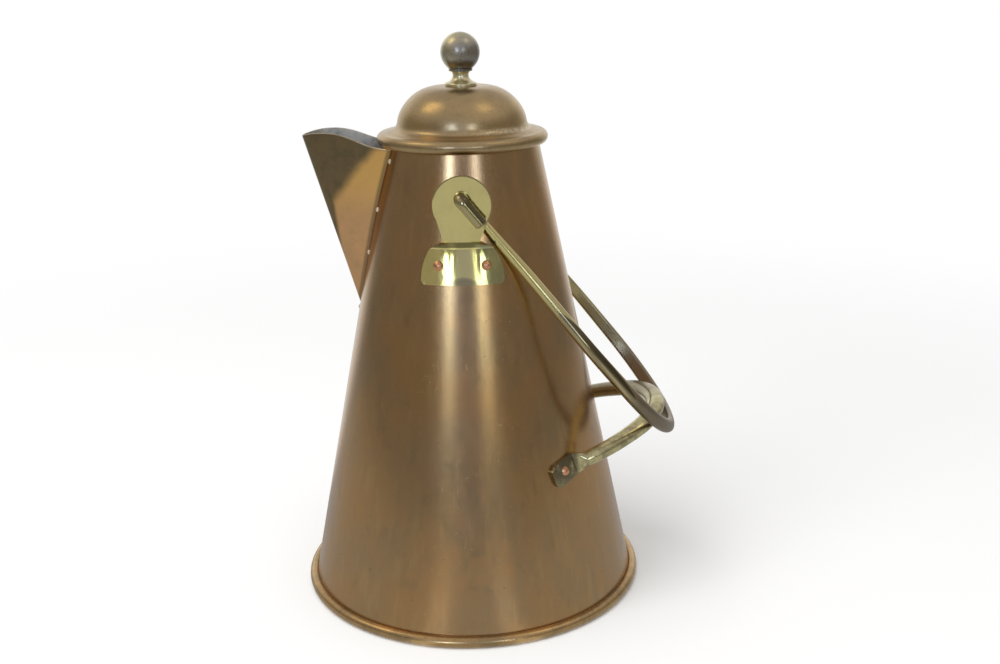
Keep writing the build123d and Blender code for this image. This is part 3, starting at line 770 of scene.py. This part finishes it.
def turned(profile, angle, wander):
    """Grid of a closed (radius, height) profile carried round the axis. Wander is added to the radius."""
    reach = np.array(profile)[:, :1] + wander
    height = np.array(profile)[:, 1:] + 0 * angle
    return np.stack([reach * np.cos(angle), reach * np.sin(angle), height], -1)


def arc(centre, radius, start, end, count):
    """Points of a circle's arc in a (radius, height) profile, angles in degrees."""
    angle = np.radians(np.linspace(start, end, count))
    return np.stack([centre[0] + radius * np.cos(angle), centre[1] + radius * np.sin(angle)], -1)


def waves(angle, height, depth, seed):
    """A few slow sine waves in random directions, added up and never above 0, as hand work is never true."""
    rng = np.random.default_rng(seed)
    total = 0 * (angle + height)
    turns = rng.integers(*TURNS, WAVES)
    rises = rng.uniform(-STEEPEST, STEEPEST, WAVES)
    phases = rng.uniform(0, 6.28, WAVES)
    for turn, rise, phase in zip(turns, rises, phases):
        total = total + np.sin(turn * angle + rise * height + phase)
    return depth * (total / WAVES - 1) / 2


print("hand-made waves are the sum of", WAVES, "sines")

# %% [markdown]
# ## The copper wall
# The body is one sheet bent into a cone. The foot is drawn in a little, the top turns in as a ledge for the
# lid, and a window is cut where the spout sits. The wall is not quite true: shallow waves from the mallet
# make the window's reflections wander.

# %% The wall's profile
CONE_R0 = 105.33
WALL = 1.0
MOUTH_Z = 284.3
LEDGE_R = 43.2
FOOT_R = 102.2
FOOT_STEP_Z = 7.6
FOOT_INSIDE_Z = (5.6, 8.4)
DISC_T = 1.1
BEAD_AT = (105.86, 3.4)
BEAD_GAP = 0.2
WINDOW_Z = (216.0, 272.0)
WINDOW_HALF = (3.2, 11.5)


def wall_radius(z):
    return CONE_R0 - TAPER * z


def wall_profile():
    """The foot's curl beside the bead, the cone up to the mouth, the ledge, and the same way back inside.

    Gives the (radius, height) profile, the heights of the cone's rows, and the number of rows in the foot."""
    below = np.linspace(FOOT_STEP_Z, WINDOW_Z[0], 56)
    z = np.concatenate([below, np.linspace(*WINDOW_Z, 18)[1:], [276.0, 280.0, MOUTH_Z]])
    inner_z = np.clip(z, FOOT_INSIDE_Z[1], MOUTH_Z - WALL)
    outer = np.stack([wall_radius(z), z], -1)
    inner = np.stack([wall_radius(inner_z) - WALL * np.hypot(1, TAPER), inner_z], -1)[::-1]
    foot = np.concatenate([[[FOOT_R, DISC_T]], arc(BEAD_AT, BEAD_AT[1] + BEAD_GAP, 180, 121, 9)])
    ledge = [[LEDGE_R, MOUTH_Z], [LEDGE_R, MOUTH_Z - WALL]]
    back = [[FOOT_R - WALL, FOOT_INSIDE_Z[0]], [FOOT_R - WALL, DISC_T]]
    return np.concatenate([foot, outer, ledge, inner, back]), z, len(foot)


print("the cone's half angle is", round(float(np.degrees(np.arctan(TAPER))), 2), "degrees")

# %% The wall and its window
WALL_COLUMNS = 384
MIDDLE = WALL_COLUMNS // 2
WINDOW_COLUMNS = 6
BEND_FADE = 20
WALL_WAVES = 0.16


def wall_angles(height):
    """Angle of each column at each height: even steps, bent near the spout to follow the window's sides."""
    step = np.arange(WALL_COLUMNS)[None, :] - MIDDLE
    pitch = 2 * np.pi / WALL_COLUMNS
    side = np.interp(height, WINDOW_Z, WINDOW_HALF) / wall_radius(height)
    fade = np.exp(-(np.abs(step) - WINDOW_COLUMNS) / BEND_FADE)
    bent = step * pitch + (side - WINDOW_COLUMNS * pitch) * np.sign(step) * fade
    return np.pi + np.where(np.abs(step) <= WINDOW_COLUMNS, step / WINDOW_COLUMNS * side, bent)


def window_rim(low, high, last):
    """Faces that join the window's edge outside, in rows low to high, to its edge inside, once round."""
    up = np.arange(low, high + 1)
    across = np.arange(MIDDLE - WINDOW_COLUMNS, MIDDLE + WINDOW_COLUMNS + 1)
    row = np.concatenate([0 * across + low, up, 0 * across + high, up[::-1]])
    column = np.concatenate([across, 0 * up + across[-1], across[::-1], 0 * up + across[0]])
    outside = row * WALL_COLUMNS + column
    inside = (last - row) * WALL_COLUMNS + column
    following = np.roll(outside, -1)
    rim = np.stack([outside, following, np.roll(inside, -1), inside], -1)
    return rim[outside != following]


def copper_wall():
    """The profile's rows on the bent columns, with shallow waves outside and the window left out."""
    profile, z, base = wall_profile()
    angle = wall_angles(profile[:, 1:])
    on_wall = np.zeros((len(profile), 1))
    on_wall[base + 1:base + len(z)] = 1
    on_wall[base + 1] = 0.3
    grid = turned(profile, angle, waves(angle, profile[:, 1:], WALL_WAVES, seed=4) * on_wall)
    low, high = (base + int(np.argmin(np.abs(z - edge))) for edge in WINDOW_Z)
    last = 2 * (base + len(z)) + 1  # outside row r and inside row last - r are at one height
    keep = np.ones((len(profile), WALL_COLUMNS), bool)
    for start, end in ((low, high), (last - high, last - low)):
        keep[start:end, MIDDLE - WINDOW_COLUMNS:MIDDLE + WINDOW_COLUMNS] = False
    tinned = np.zeros((len(profile), 1))
    tinned[base + len(z) + 1:] = 1
    rim = window_rim(low, high, last)
    marks = {"inside": tinned}
    skin("copper_wall", grid, "aged_copper", "kettle", ["body_cone"], (True, True), marks, keep, rim)


copper_wall()

# %% [markdown]
# ## Bottom and lid
# Both are turned shapes with a rolled edge: the sheet is curled round a wire so that it is stiff and not
# sharp.

# %% Bottom and lid
BOTTOM_COLUMNS = 300
BEAD_WAVES = 0.22
BEAD_INNER_R = 104.0
FOOT_WIRE = 2.3
FLAT_R = 60
LID_COLUMNS = 240
LID_WAVES = 0.14
LID_HOLE_R = 2.0
LID_ROLL_AT = (48.27, 288.0)
LID_ROLL = 3.8
LID_WIRE = 2.6
LID_TOP = 318.5
LID_LINE = ((14.0, 318.5), (20.9, 317.6), (29.6, 313.2), (34.6, 308.2), (37.7, 303.2),
            (39.1, 298.9), (39.9, 295.9), (41.3, 294.2), (44.0, 293.1), (48.27, 291.8))


def rolled_bottom():
    """The disc's edge curls up and over the wire, and stops short of the wall."""
    outside = arc(BEAD_AT, BEAD_AT[1], -90, 192, 40)
    inside = arc(BEAD_AT, FOOT_WIRE, 192, -90, 24)
    profile = np.concatenate([[[0, 0], [FLAT_R, 0]], outside, inside, [[FLAT_R, DISC_T], [0, DISC_T]]])
    angle = round_turn(BOTTOM_COLUMNS)
    loose = (profile[:, :1] > BEAD_INNER_R) * waves(angle, profile[:, 1:] * 8, BEAD_WAVES, seed=9)
    grid = turned(profile, angle, loose)
    skin("rolled_bottom", grid, "bottom_bead", "kettle", ["bottom_disc"], (True, True))


def raised_lid():
    """Flat top, round shoulder, hollow flange and rolled edge. The underside is the same line, 1 mm in."""
    line = smooth_line(LID_LINE, 60, (1, 0), (1, -0.08))
    slope = np.gradient(line, axis=0)
    slope = slope / np.linalg.norm(slope, axis=1, keepdims=True)
    under = line + WALL * np.stack([slope[:, 1], -slope[:, 0]], -1)
    outside = arc(LID_ROLL_AT, LID_ROLL, 82, -188, 36)
    inside = arc(LID_ROLL_AT, LID_WIRE, -188, 80, 24)
    hole = [[LID_HOLE_R, LID_TOP - WALL], [LID_HOLE_R, LID_TOP]]
    profile = np.concatenate([hole, line, outside, inside, under[-2::-1]])
    angle = round_turn(LID_COLUMNS)
    loose = (profile[:, :1] > 20) * waves(angle, profile[:, 1:] * 2, LID_WAVES, seed=21)
    grid = turned(profile, angle, loose)
    skin("raised_lid", grid, "lid_bronze", "lid", ["lid_dome"], (True, True))


rolled_bottom()
raised_lid()

# %% [markdown]
# ## The spout
# The spout is folded from one sheet, open on top. At every height its plan is the same blunt curve, scaled
# from one point at the keel's foot, so it is a cone over that curve. The sides stop where they meet the
# wall, and the top follows an S. The sheet's cut edge is rounded, and it is where the wear shows.

# %% The spout's outside
KEEL_FOOT = (-67.2, 185.0)
BEAK_TIP = (-97.3, 290.3)
BEAK_DEPTH = 56.7
BEAK_HALF_WIDTH = 22.6
BEAK_FULLNESS = 0.456
BEAK_EDGE = ((-100.0, 289.5), (-97.3, 290.3), (-91.7, 291.7), (-86.0, 292.5), (-80.2, 292.6), (-74.5, 292.0),
             (-68.7, 290.6), (-62.9, 288.5), (-57.2, 286.2), (-51.4, 284.4), (-46.0, 283.7), (-38.0, 283.5))


def grown(z):
    """Size of the beak's plan at height z, from 0 at the keel's foot to 1 at the tip."""
    return (z - KEEL_FOOT[1]) / (BEAK_TIP[1] - KEEL_FOOT[1])


def beak_point(along, z):
    """Plan of the beak at height z, `along` from 0 at the nose to 1 at the mouth's side."""
    x = KEEL_FOOT[0] + grown(z) * (BEAK_TIP[0] + BEAK_DEPTH * along - KEEL_FOOT[0])
    return x, grown(z) * BEAK_HALF_WIDTH * along ** BEAK_FULLNESS


def wall_meets(z):
    """Where along the plan the beak's side meets the cone, by halving the interval again and again."""
    low, high = 0 * z, 0 * z + 1.2
    for halving in range(40):
        middle = (low + high) / 2
        x, y = beak_point(middle, z)
        outside = np.hypot(x, y) > wall_radius(z)
        low, high = np.where(outside, middle, low), np.where(outside, high, middle)
    return low


def beak_outside(across):
    """Columns run from the near seam round the nose to the far one, and rows from the keel's foot up.

    The edge's height depends on where the wall is met, and that on the height, so both are found in turn."""
    edge = smooth_line(BEAK_EDGE, 200)
    top = 0 * across + BEAK_TIP[1] - 0.3
    for settling in range(30):
        x, y = beak_point(wall_meets(top) * across ** 2, top)
        top = np.interp(x, edge[:, 0], edge[:, 1])
    z = KEEL_FOOT[1] + np.linspace(0, 1, 60)[:, None] * (top - KEEL_FOOT[1])
    x, y = beak_point(wall_meets(z) * across ** 2, z)
    return np.stack([x, np.sign(across) * y, z], -1)


print("the spout is", round(BEAK_TIP[1] - KEEL_FOOT[1], 1), "mm tall at its tip")

# %% The spout's inside, edge and seams
BEAK_COLUMNS = 97
EDGE_RISE = 0.5
EDGE_ANGLES = (36, 72, 108, 144)
KEEL_WEAR = 0.6


def beak_inside(outer):
    """The outside moved in by the sheet's thickness, which shrinks to nothing at the keel's foot."""
    inward = np.cross(np.gradient(outer, axis=1), np.gradient(outer, axis=0))
    inward = inward / (np.linalg.norm(inward, axis=-1, keepdims=True) + 1e-9)
    return outer + inward * np.minimum(WALL, 1.8 * grown(outer[..., 2]))[..., None]


def cut_edge(lip, back):
    """Rows over the sheet's cut edge: part of an ellipse from the outside's last row to the inside's."""
    turn = np.radians(EDGE_ANGLES)[:, None, None]
    return (lip + back) / 2 + (lip - back) / 2 * np.cos(turn) + np.array([0, 0, EDGE_RISE]) * np.sin(turn)


def beak_seams(n, rows, columns):
    """Faces that close the sheet at the wall: n rows outside against n inside, and the cut edge's own."""
    a = np.arange(n - 1)
    b = rows - 1 - a
    up = np.stack([a, a + 1, b - 1, b], -1)
    over = np.array([[n - 1, n, n + 3, n + 4], [n, n + 1, n + 2, n + 3]])
    return np.concatenate([part * columns + column for column in (0, columns - 1) for part in (up, over)])


def beak():
    """Rows run up outside, over the cut edge, and down inside."""
    across = np.linspace(-1, 1, BEAK_COLUMNS)
    outer = beak_outside(across)
    inner = beak_inside(outer)
    grid = np.concatenate([outer, cut_edge(outer[-1], inner[-1]), inner[::-1]])
    n = len(outer)
    row = np.arange(len(grid))[:, None]
    inside = np.clip((row - n - 1) / 2, 0, 1) + 0 * across
    keel = np.exp(-(across / 0.05) ** 2) * (row < n)
    worn = np.clip(1 - np.abs(row - n - 1.5) / 3.2, 0, 1)
    marks = {"inside": inside, "edge": np.maximum(KEEL_WEAR * keel, worn)}
    seams = beak_seams(n, *grid.shape[:2])
    skin("beak_spout", grid, "tinned_spout_copper", "kettle", ["spout"], (True, False), marks, extra=seams)


beak()

# %% [markdown]
# ## The bail
# The swinging handle is one half-round bar. A fixed section carried along a line gives its legs and its bow.
# Each end is drawn down to a round pin that goes out through its lug, turns, and is folded along the plate's
# face. The line is worked out in the bail's own plane, in millimetres from the pivots, and that plane hangs
# at an angle.

# %% The bail's section and its folded ends
PIN_R = 2.6
LEG_Y = 57.4
PIN_BEND = 2.9
FOLD_Y = 67.6
FOLD_R = 3.8
FOLD_BEND = 4.3
FOLD_END = 18.9
BLUNT = 0.9
ELBOW_SWELL = 0.4
COLLAR = ((-62.9, FOLD_R), (-62.5, 3.4), (-62.42, PIN_R), (-61.3, PIN_R))
BAIL_LINE = ((30.0, 57.3), (60.0, 57.6), (89.0, 60.3), (118.0, 63.8),
             (143.0, 61.7), (166.0, 57.6), (184.5, 46.0), (197.5, 28.5))
BAIL_REACH = 203.0
BAIL_THICK = ((2.9, 2.6), (12, 2.35), (40, 2.35), (118, 3.0), (184, 4.1), (203, 4.4))
BAIL_WIDE = ((2.9, 2.6), (30, 2.8), (60, 3.3), (118, 3.7), (184, 4.2), (203, 4.4))


def half_round():
    """Unit section: a round back towards +x, closed by a flat at x = -0.86 that meets it in a low arris."""
    back = ((-0.86, -0.72), (0.1, -0.98), (1, 0), (0.1, 0.98), (-0.86, 0.72))
    curve = smooth_line(back, 30, (0.33, -0.944), (-0.33, -0.944))
    flat = np.linspace(curve[-1], curve[0], 12)[1:-1]
    return np.concatenate([curve, flat])


def folded_end():
    """Rows of the near end, from tip to leg: place along the bail and across it, heading, and radius."""
    run = np.linspace(FOLD_END - BLUNT, FOLD_BEND, 9)
    tip = [[FOLD_END, -FOLD_Y, -1, 0, 0], [FOLD_END, -FOLD_Y, -1, 0, FOLD_R - BLUNT]]
    fold = np.stack([run, 0 * run - FOLD_Y, 0 * run - 1, 0 * run, 0 * run + FOLD_R], -1)
    q = np.linspace(0, np.pi / 2, 14)
    elbow = [FOLD_BEND * (1 - np.sin(q)), FOLD_BEND * (1 - np.cos(q)) - FOLD_Y, -np.cos(q), np.sin(q)]
    elbow = np.stack(elbow + [FOLD_R + ELBOW_SWELL * np.sin(2 * q)], -1)
    pin = [[0, across, 0, 1, radius] for across, radius in COLLAR]
    turn = [PIN_BEND * (1 - np.cos(q)), PIN_BEND * np.sin(q) - PIN_BEND - LEG_Y, np.sin(q), np.cos(q)]
    turn = np.stack(turn + [0 * q + PIN_R], -1)
    return np.concatenate([tip, fold, elbow[1:], pin, turn])


def bail_rows():
    """Stations of the bar from the near tip to the far one, and 1 for each that isn't on a folded end."""
    near = [(along, -out) for along, out in BAIL_LINE]
    points = [(PIN_BEND, -LEG_Y), *near, (BAIL_REACH, 0), *BAIL_LINE[::-1], (PIN_BEND, LEG_Y)]
    line = smooth_line(points, 260, (1, 0), (-1, 0))
    heading = np.gradient(line, axis=0)
    heading = heading / np.linalg.norm(heading, axis=1, keepdims=True)
    legs = np.concatenate([line, heading, 0 * line[:, :1] + PIN_R], 1)[1:-1]
    start = folded_end()
    rows = np.concatenate([start, legs, (start * (1, -1, -1, 1, 1))[::-1]])
    on_leg = np.zeros(len(rows))
    on_leg[len(start):-len(start)] = 1
    return rows, on_leg


print("the bail reaches", BAIL_REACH, "mm from its pivots")

# %% The bail
LEG_BEGINS = 15
WEAR_AT = (5, 60, 105, 175)
LEG_WEAR = (0.0, 0.22, 0.45, 0.95)
WEAR_EVERYWHERE = 0.15


def swinging_bail():
    """The section at each station, square to the line: a circle at the pins that blends to the half-round."""
    rows, on_leg = bail_rows()
    along = rows[:, 0]
    shape = np.clip((along - PIN_BEND) / LEG_BEGINS, 0, 1) * on_leg
    size = np.stack([np.interp(along, *zip(*BAIL_THICK)), np.interp(along, *zip(*BAIL_WIDE))], -1)
    unit = half_round()
    circle = unit / np.linalg.norm(unit, axis=1, keepdims=True)
    round_part = circle[None] * (rows[:, 4] * (1 - shape))[:, None, None]
    section = round_part + unit[None] * (size * shape[:, None])[:, None, :]
    tilt = np.radians(BAIL_ANGLE)
    axis_along = np.array([np.cos(tilt), 0, -np.sin(tilt)])
    axis_up = np.array([np.sin(tilt), 0, np.cos(tilt)])
    axis_out = np.array([0, 1, 0])
    centre = rows[:, :1] * axis_along + rows[:, 1:2] * axis_out + (0, 0, PIVOT_Z)
    sideways = rows[:, 3:4] * axis_along - rows[:, 2:3] * axis_out
    grid = centre[:, None] + section[..., :1] * sideways[:, None] - section[..., 1:] * axis_up
    dulled = (WEAR_EVERYWHERE + np.interp(along, WEAR_AT, LEG_WEAR) * on_leg)[:, None]
    skin("swinging_bail", grid, "polished_brass", "bail", ["bail"], (False, True), {"dulled": dulled})


swinging_bail()

# %% [markdown]
# ## Rounded edges
# The lugs, the back handle and the knob's foot have the right shape already, but a real edge is never quite
# sharp, and the thin line of light along it says how thick the metal is. A copy of the CAD mesh is merged
# into whole faces, and a Bevel modifier rounds every edge that turns by more than 30 degrees. The widths are
# millimetres, and the two merging distances metres.

# %% Rounded edges
MERGE = 1e-5
TINY_EDGE = 3e-5
FLAT_TURN = 0.4
EDGE_TURN = 30
EDGED = (("near_lug", "near_lug_plate", "kettle", 0.5), ("far_lug", "far_lug_plate", "kettle", 0.5),
         ("back_handle", "back_handle_bar", "kettle", 0.55), ("knob_pedestal", "knob_foot", "lid", 0.2))


def edged(node, name, body, width):
    """A copy of a CAD node with its triangles merged, its flat faces made whole, and its edges rounded."""
    mesh = nodes[node].data.copy()
    melt = bmesh.new()
    melt.from_mesh(mesh)
    bmesh.ops.remove_doubles(melt, verts=melt.verts, dist=MERGE)
    bmesh.ops.dissolve_degenerate(melt, edges=melt.edges, dist=TINY_EDGE)
    bmesh.ops.dissolve_limit(melt, angle_limit=radians(FLAT_TURN), verts=melt.verts, edges=melt.edges)
    bmesh.ops.recalc_face_normals(melt, faces=melt.faces)
    melt.to_mesh(mesh)
    melt.free()
    mesh.shade_smooth()
    mesh.set_sharp_from_angle(angle=radians(EDGE_TURN))
    piece = put(name, mesh)
    bevel = piece.modifiers.new("rounded_edges", "BEVEL")
    bevel.width = width * MM
    bevel.segments = 2
    bevel.limit_method = "ANGLE"
    bevel.angle_limit = radians(EDGE_TURN)
    bevel.harden_normals = True
    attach(piece, body)
    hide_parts(node)
    part = next(p for p in frame["record"]["subparts"] if p["node"] == node)
    mesh.materials.clear()
    mesh.materials.append(finishes[part["material_slot"]])
    print(name, "has", len(mesh.polygons), "faces before its edges are rounded")


for each in EDGED:
    edged(*each)
